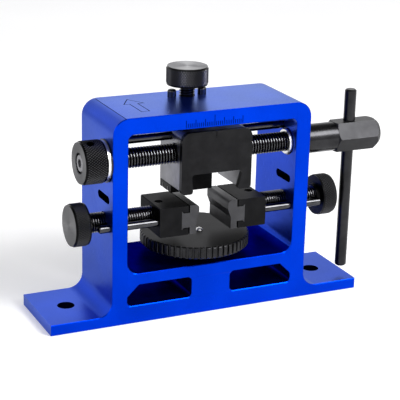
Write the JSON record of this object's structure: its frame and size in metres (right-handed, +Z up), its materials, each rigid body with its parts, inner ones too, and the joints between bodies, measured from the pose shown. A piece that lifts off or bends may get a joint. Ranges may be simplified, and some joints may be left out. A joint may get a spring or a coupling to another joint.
{
  "type": "bench sight pusher tool",
  "caption": "Blue portal frame with a lead-screw pusher, knurled screw jaws, a toothed height disk and a hold-down, for drifting a pistol sight in its dovetail.",
  "frame": {"origin": "centre of the base's underside, midway between the two foot bolt holes", "axes": "+Z up, +X along the frame towards the hex drive head, -Y out of the face with the millimetre scale"},
  "size_m": [0.1802, 0.0552, 0.119],
  "materials": {
    "blue_anodised": "satin blue anodise over extruded and milled aluminium",
    "black_oxide": "black oxide",
    "black_thread": "oiled black oxide thread",
    "polished_black": "polished, blackened",
    "knurled_black": "diamond knurled, black oxide",
    "matte_black": "bead blasted, black oxide",
    "ground_steel": "ground, thin black oxide",
    "turned_black": "turned, black oxide",
    "bright_steel": "bright zinc"
  },
  "bodies": {
    "frame": {"frame": "blue_anodised", "flange_bush": "black_oxide", "right_bush": "black_oxide", "lead_washer": "bright_steel", "upper_guide_rod": "polished_black"},
    "lead_screw": {"lead_screw": "black_thread", "stop_ring": "bright_steel", "lead_knob": "knurled_black", "lead_knob_screw": "black_oxide", "lead_knob_grub": "black_oxide"},
    "tommy_bar": {"tommy_bar": "polished_black"},
    "pusher": {"pusher_body": "ground_steel", "pusher_plate": "matte_black", "plate_screws": "black_oxide", "pusher_shoe": "ground_steel", "shoe_screws": "black_oxide"},
    "left_jaw": {"left_jaw": "matte_black", "left_jaw_pad": "ground_steel", "left_guide_rod": "polished_black", "left_jaw_grub": "black_oxide"},
    "left_thumbscrew": {"left_thumbscrew": "black_thread", "left_thumb_knob": "knurled_black"},
    "right_jaw": {"right_jaw": "matte_black", "right_jaw_pad": "ground_steel", "right_guide_rod": "polished_black", "right_jaw_grub": "black_oxide"},
    "right_thumbscrew": {"right_thumbscrew": "black_thread", "right_thumb_knob": "knurled_black"},
    "hold_down": {"hold_down_plate": "matte_black", "hold_down_pin_left": "polished_black", "hold_down_pin_right": "polished_black"},
    "top_screw": {"top_screw": "black_oxide", "top_knob": "knurled_black", "hold_down_clip": "bright_steel"},
    "height_carrier": {"thrust_washer": "black_oxide"},
    "height_disk": {"height_disk": "turned_black", "height_stud": "black_thread", "disk_key": "bright_steel"}
  },
  "joints": [
    {"name": "lead_turn", "type": "hinge", "parent": "frame", "child": "lead_screw", "pos_m": [0, -0.011, 0.0815], "axis": [1, 0, 0], "range_deg": [-4680, 5760]},
    {"name": "bar_slide", "type": "slide", "parent": "lead_screw", "child": "tommy_bar", "axis": [0, 0, 1], "range_m": [-0.003, 0.0506]},
    {"name": "pusher_slide", "type": "slide", "parent": "frame", "child": "pusher", "axis": [1, 0, 0], "range_m": [-0.024, 0.0195]},
    {"name": "left_jaw_slide", "type": "slide", "parent": "frame", "child": "left_jaw", "axis": [1, 0, 0], "range_m": [-0.015, 0.005]},
    {"name": "left_turn", "type": "hinge", "parent": "left_jaw", "child": "left_thumbscrew", "pos_m": [0, -0.0088, 0.0502], "axis": [1, 0, 0], "range_deg": [-4320, 1440]},
    {"name": "right_jaw_slide", "type": "slide", "parent": "frame", "child": "right_jaw", "axis": [1, 0, 0], "range_m": [-0.007, 0.004]},
    {"name": "right_turn", "type": "hinge", "parent": "right_jaw", "child": "right_thumbscrew", "pos_m": [0, -0.0088, 0.0502], "axis": [1, 0, 0], "range_deg": [-2016, 1152]},
    {"name": "hold_slide", "type": "slide", "parent": "frame", "child": "hold_down", "axis": [0, 0, 1], "range_m": [-0.005, 0.00625]},
    {"name": "top_turn", "type": "hinge", "parent": "hold_down", "child": "top_screw", "pos_m": [-0.001, 0.0105, 0.085], "axis": [0, 0, 1], "range_deg": [-1440, 1800]},
    {"name": "height_slide", "type": "slide", "parent": "frame", "child": "height_carrier", "axis": [0, 0, 1], "range_m": [-0.00263, 0.0035]},
    {"name": "disk_turn", "type": "hinge", "parent": "height_carrier", "child": "height_disk", "pos_m": [0, 0, 0.03], "axis": [0, 0, 1], "range_deg": [-540, 720]}
  ],
  "couplings": [
    {"joint": "pusher_slide", "follows": "lead_turn", "m_per_rad": -0.00023873},
    {"joint": "left_turn", "follows": "left_jaw_slide", "rad_per_m": 5026.5},
    {"joint": "right_turn", "follows": "right_jaw_slide", "rad_per_m": 5026.5},
    {"joint": "top_turn", "follows": "hold_slide", "rad_per_m": 5026.5},
    {"joint": "disk_turn", "follows": "height_slide", "rad_per_m": 3590.4}
  ]
}
